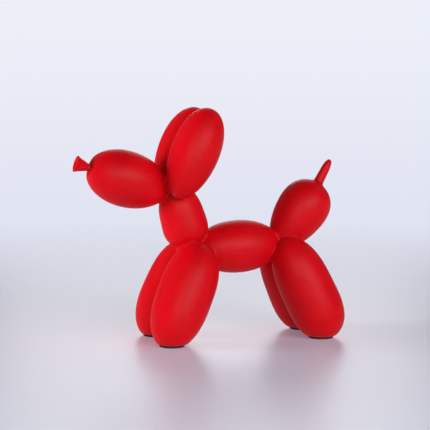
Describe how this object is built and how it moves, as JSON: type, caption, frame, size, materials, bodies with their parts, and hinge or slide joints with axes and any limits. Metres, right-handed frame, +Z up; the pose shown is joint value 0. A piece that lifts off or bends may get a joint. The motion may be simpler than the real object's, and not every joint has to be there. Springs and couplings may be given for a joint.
{
  "type": "balloon dog ornament",
  "caption": "Standing ornament in the form of a dog twisted from a long balloon: matte red casting with flared nozzle, upright ears, tail tip and dark non-slip pads under its feet.",
  "frame": {"origin": "on the floor under the middle of the ornament's box: halfway along it and on its middle plane", "axes": "+Z up, the dog faces -X, its left side is at +Y"},
  "size_m": [0.21, 0.09, 0.18],
  "materials": {
    "casting": "matte red, soft to the touch, on cast resin",
    "pads": "matte black foam rubber"
  },
  "bodies": {
    "root": {"balloon_dog": "casting", "foot_pad_front_left": "pads", "foot_pad_front_right": "pads", "foot_pad_hind_left": "pads", "foot_pad_hind_right": "pads"}
  },
  "joints": []
}
